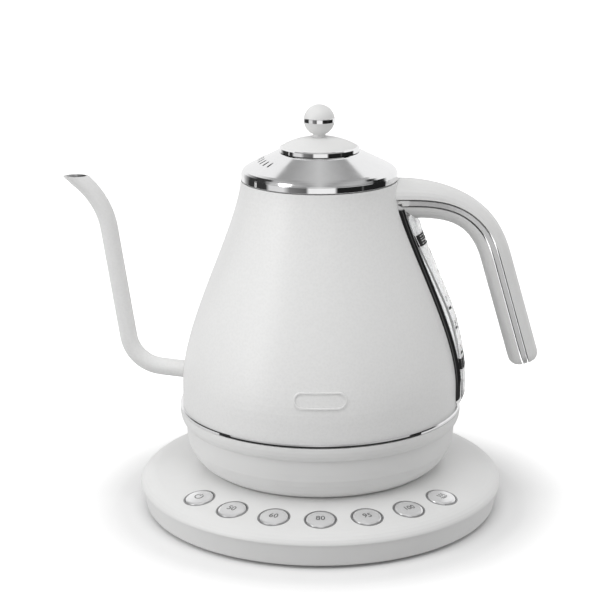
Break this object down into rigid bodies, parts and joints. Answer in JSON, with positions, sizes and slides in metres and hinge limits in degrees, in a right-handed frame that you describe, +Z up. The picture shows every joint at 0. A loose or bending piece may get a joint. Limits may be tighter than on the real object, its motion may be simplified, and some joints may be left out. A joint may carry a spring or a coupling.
{
  "type": "gooseneck kettle",
  "caption": "Pear-shaped white gooseneck kettle with chrome lid, ball knob and open-ended handle on a round button-controlled heated base.",
  "frame": {"origin": "on the kettle's vertical axis, on the table under the base", "axes": "+Z up, +X towards the handle, -X towards the spout, -Y towards the buttons"},
  "size_m": [0.3028, 0.2425, 0.2635],
  "materials": {
    "white_plastic": "smooth satin white",
    "white_paint": "satin white with a fine grain",
    "rubber": "matte",
    "steel": "brushed",
    "satin_metal": "satin with a bright edge",
    "trim_metal": "satin",
    "chrome": "polished",
    "black_plastic": "matte",
    "grey_plastic": "satin",
    "green_board": "satin",
    "element_metal": "dull",
    "clear_plastic": "clear, faintly frosted",
    "silicone": "matte"
  },
  "bodies": {
    "power_base": {"base_shell": "white_plastic", "base_tray": "white_plastic", "base_foot_ring": "rubber", "base_screws": "steel", "connector_plug": "black_plastic", "control_board": "green_board", "button_switches": "black_plastic", "button_wells": "grey_plastic", "cord_gland": "rubber"},
    "kettle_socket": {"connector_socket": "black_plastic"},
    "kettle": {"body_shell": "white_paint", "inner_vessel": "steel", "heater_plate": "steel", "heating_element": "element_metal", "control_block": "black_plastic", "chrome_band": "chrome", "base_ring": "white_plastic", "skirt": "white_plastic", "skirt_screws": "steel", "window_bezel": "chrome", "water_window": "clear_plastic", "badge_plate": "white_paint", "spout_sleeve": "white_paint", "spout_liner": "steel", "spout_strainer": "steel", "handle_outer": "white_plastic", "handle_inner": "white_plastic", "handle_trim": "trim_metal", "handle_filler": "white_plastic", "handle_tang": "steel"},
    "lid": {"lid_cone": "chrome", "lid_rim": "chrome", "lid_inner": "steel", "lid_seal": "silicone", "lid_cap": "white_plastic", "lid_cap_ring": "chrome", "knob_stem": "chrome", "knob_lower": "white_plastic", "knob_band": "chrome", "knob_upper": "white_plastic"},
    "button_power": {"button_power": "satin_metal"},
    "button_50": {"button_50": "satin_metal"},
    "button_60": {"button_60": "satin_metal"},
    "button_80": {"button_80": "satin_metal"},
    "button_95": {"button_95": "satin_metal"},
    "button_100": {"button_100": "satin_metal"},
    "button_warm": {"button_warm": "satin_metal"}
  },
  "joints": [
    {"name": "kettle_lift", "type": "slide", "parent": "power_base", "child": "kettle_socket", "axis": [0, 0, 1], "range_m": [0, 0.12]},
    {"name": "kettle_turn", "type": "hinge", "parent": "kettle_socket", "child": "kettle", "pos_m": [0, 0, 0.04], "axis": [0, 0, 1], "continuous": true},
    {"name": "lid_lift", "type": "slide", "parent": "kettle", "child": "lid", "axis": [0, 0, 1], "range_m": [0, 0.06]},
    {"name": "press_power", "type": "slide", "parent": "power_base", "child": "button_power", "axis": [0, 0, -1], "range_m": [0, 0.0008], "stiffness_N_per_m": 1500, "springref_m": -0.0006},
    {"name": "press_50", "type": "slide", "parent": "power_base", "child": "button_50", "axis": [0, 0, -1], "range_m": [0, 0.0008], "stiffness_N_per_m": 1500, "springref_m": -0.0006},
    {"name": "press_60", "type": "slide", "parent": "power_base", "child": "button_60", "axis": [0, 0, -1], "range_m": [0, 0.0008], "stiffness_N_per_m": 1500, "springref_m": -0.0006},
    {"name": "press_80", "type": "slide", "parent": "power_base", "child": "button_80", "axis": [0, 0, -1], "range_m": [0, 0.0008], "stiffness_N_per_m": 1500, "springref_m": -0.0006},
    {"name": "press_95", "type": "slide", "parent": "power_base", "child": "button_95", "axis": [0, 0, -1], "range_m": [0, 0.0008], "stiffness_N_per_m": 1500, "springref_m": -0.0006},
    {"name": "press_100", "type": "slide", "parent": "power_base", "child": "button_100", "axis": [0, 0, -1], "range_m": [0, 0.0008], "stiffness_N_per_m": 1500, "springref_m": -0.0006},
    {"name": "press_warm", "type": "slide", "parent": "power_base", "child": "button_warm", "axis": [0, 0, -1], "range_m": [0, 0.0008], "stiffness_N_per_m": 1500, "springref_m": -0.0006}
  ]
}
